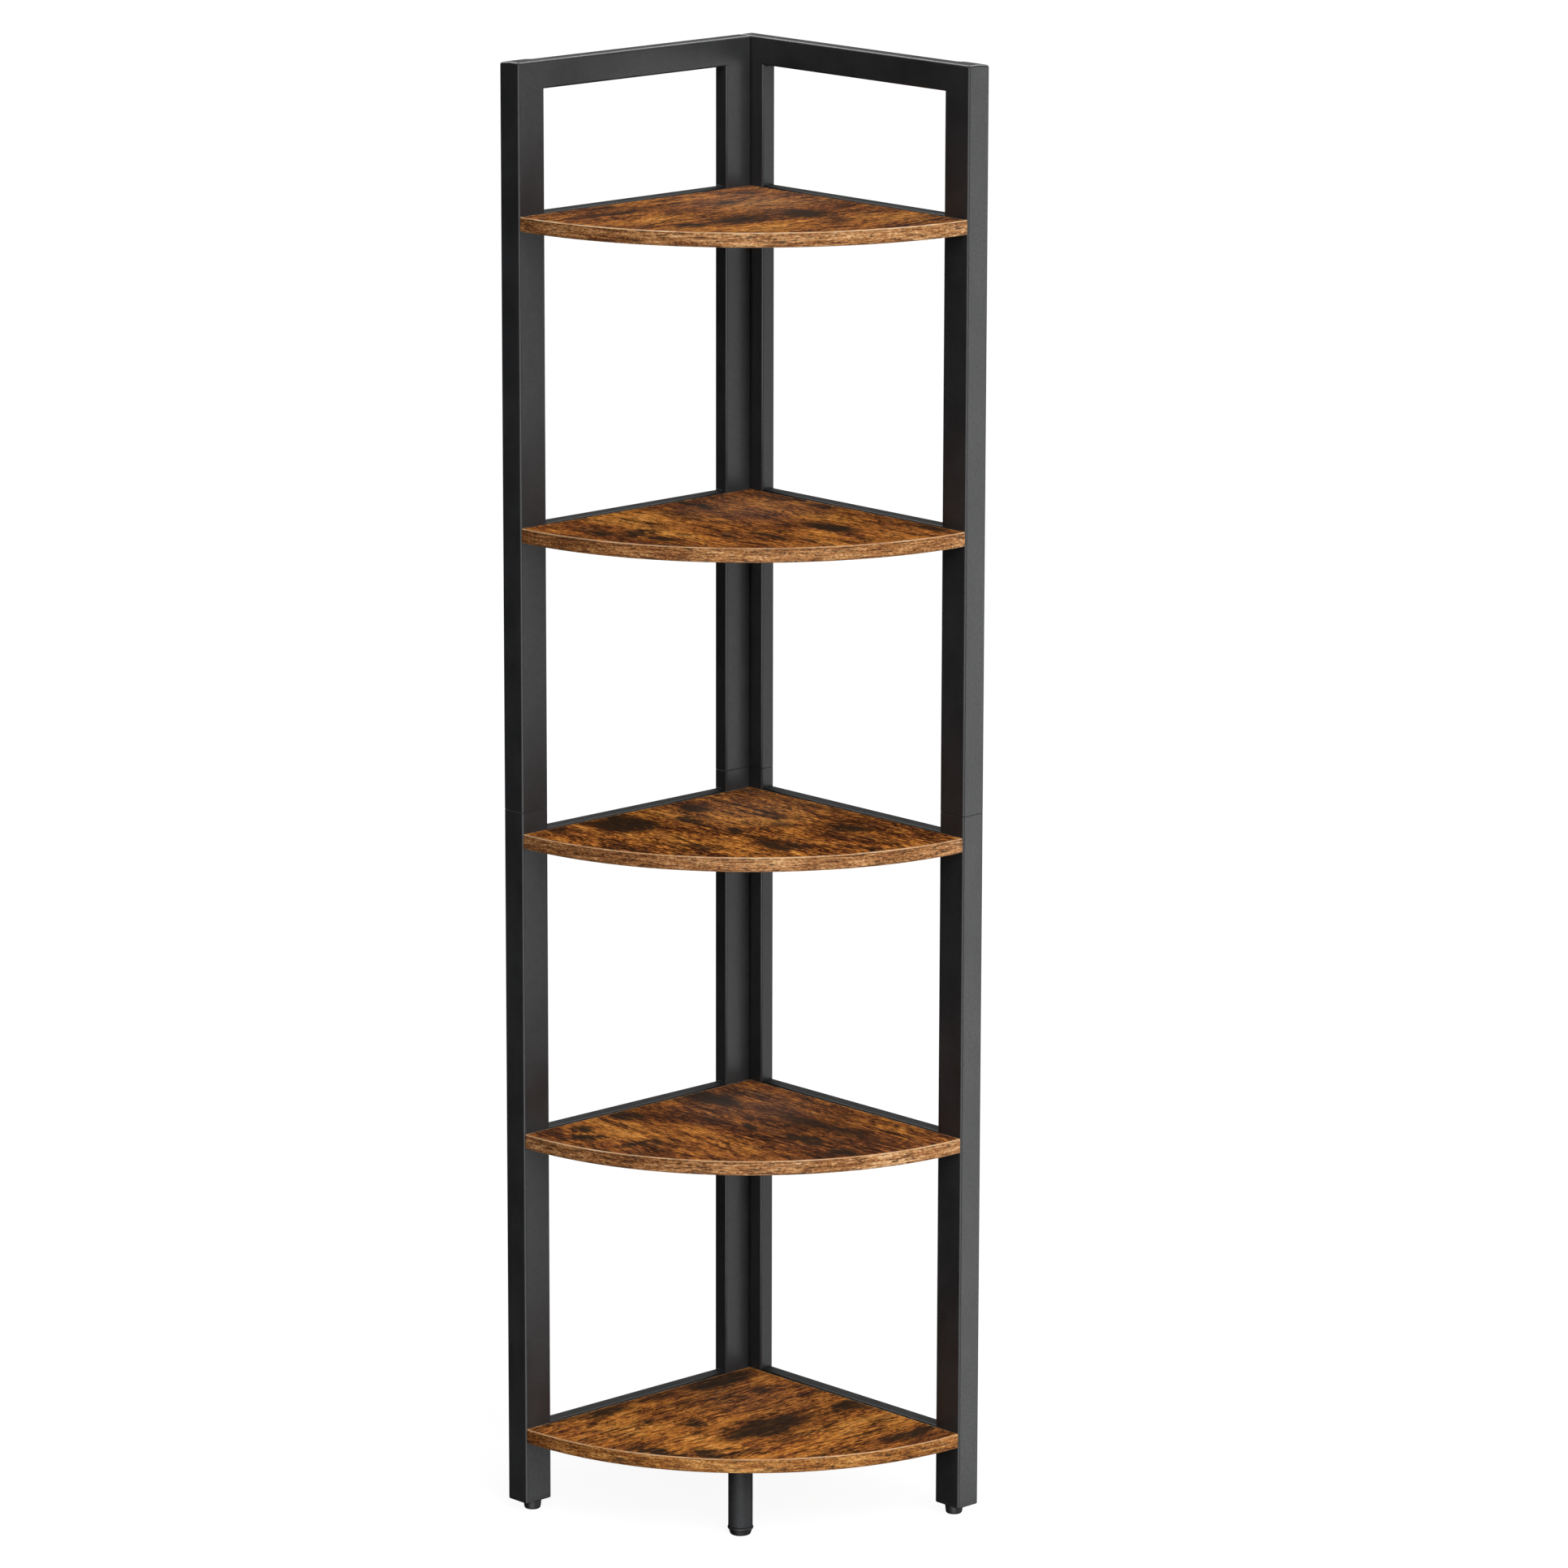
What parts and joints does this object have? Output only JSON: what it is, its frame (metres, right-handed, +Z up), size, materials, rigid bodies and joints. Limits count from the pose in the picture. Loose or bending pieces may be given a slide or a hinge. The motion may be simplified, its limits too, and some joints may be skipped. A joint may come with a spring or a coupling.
{
  "type": "corner shelf unit",
  "caption": "Tall corner shelf with quarter-round wood-effect boards between black steel tube frames that plug together at mid height, a short front leg and screw-in levelling feet.",
  "frame": {"origin": "on the floor, under the middle of the 300 by 300 mm footprint", "axes": "+Z up; the right frame runs along +X at the back (+Y side), the left frame runs along -Y on the -X side; the corner of the unit points to -X +Y and the round front to +X -Y"},
  "size_m": [0.3, 0.3, 1.315],
  "materials": {
    "powder_coated_steel": "satin black powder coat, fine orange-peel texture",
    "wood_effect_board": "rustic brown wood-effect laminate on particle board, satin",
    "black_plastic": "matt black moulded plastic",
    "foot_plastic": "matt black moulded plastic",
    "sleeve_plastic": "matt black moulded plastic",
    "black_screw": "black oxide steel",
    "zinc_stud": "zinc plated steel"
  },
  "bodies": {
    "shelf_unit": {"left_front_post_lower": "powder_coated_steel", "left_front_post_upper": "powder_coated_steel", "left_front_post_sleeve": "sleeve_plastic", "left_front_post_plug": "black_plastic", "left_rear_post_lower": "powder_coated_steel", "left_rear_post_upper": "powder_coated_steel", "left_rear_post_sleeve": "sleeve_plastic", "left_rear_post_plug": "black_plastic", "right_rear_post_lower": "powder_coated_steel", "right_rear_post_upper": "powder_coated_steel", "right_rear_post_sleeve": "sleeve_plastic", "right_rear_post_plug": "black_plastic", "right_front_post_lower": "powder_coated_steel", "right_front_post_upper": "powder_coated_steel", "right_front_post_sleeve": "sleeve_plastic", "right_front_post_plug": "black_plastic", "left_top_rail": "powder_coated_steel", "right_top_rail": "powder_coated_steel", "left_crossbar_1": "powder_coated_steel", "right_crossbar_1": "powder_coated_steel", "shelf_board_1": "wood_effect_board", "left_board_screw_1a": "black_screw", "right_board_screw_1a": "black_screw", "left_board_screw_1b": "black_screw", "right_board_screw_1b": "black_screw", "left_crossbar_2": "powder_coated_steel", "right_crossbar_2": "powder_coated_steel", "shelf_board_2": "wood_effect_board", "left_board_screw_2a": "black_screw", "right_board_screw_2a": "black_screw", "left_board_screw_2b": "black_screw", "right_board_screw_2b": "black_screw", "left_crossbar_3": "powder_coated_steel", "right_crossbar_3": "powder_coated_steel", "shelf_board_3": "wood_effect_board", "left_board_screw_3a": "black_screw", "right_board_screw_3a": "black_screw", "left_board_screw_3b": "black_screw", "right_board_screw_3b": "black_screw", "left_crossbar_4": "powder_coated_steel", "right_crossbar_4": "powder_coated_steel", "shelf_board_4": "wood_effect_board", "left_board_screw_4a": "black_screw", "right_board_screw_4a": "black_screw", "left_board_screw_4b": "black_screw", "right_board_screw_4b": "black_screw", "left_crossbar_5": "powder_coated_steel", "right_crossbar_5": "powder_coated_steel", "shelf_board_5": "wood_effect_board", "left_board_screw_5a": "black_screw", "right_board_screw_5a": "black_screw", "left_board_screw_5b": "black_screw", "right_board_screw_5b": "black_screw", "front_leg_tube": "powder_coated_steel", "front_leg_stud": "zinc_stud", "front_leg_cap": "black_plastic"},
    "left_front_foot_body": {"left_front_foot": "foot_plastic"},
    "left_rear_foot_body": {"left_rear_foot": "foot_plastic"},
    "right_rear_foot_body": {"right_rear_foot": "foot_plastic"},
    "right_front_foot_body": {"right_front_foot": "foot_plastic"}
  },
  "joints": [
    {"name": "left_front_foot_screw", "type": "slide", "parent": "shelf_unit", "child": "left_front_foot_body", "axis": [0, 0, -1], "range_m": [0, 0.008]},
    {"name": "left_rear_foot_screw", "type": "slide", "parent": "shelf_unit", "child": "left_rear_foot_body", "axis": [0, 0, -1], "range_m": [0, 0.008]},
    {"name": "right_rear_foot_screw", "type": "slide", "parent": "shelf_unit", "child": "right_rear_foot_body", "axis": [0, 0, -1], "range_m": [0, 0.008]},
    {"name": "right_front_foot_screw", "type": "slide", "parent": "shelf_unit", "child": "right_front_foot_body", "axis": [0, 0, -1], "range_m": [0, 0.008]}
  ]
}
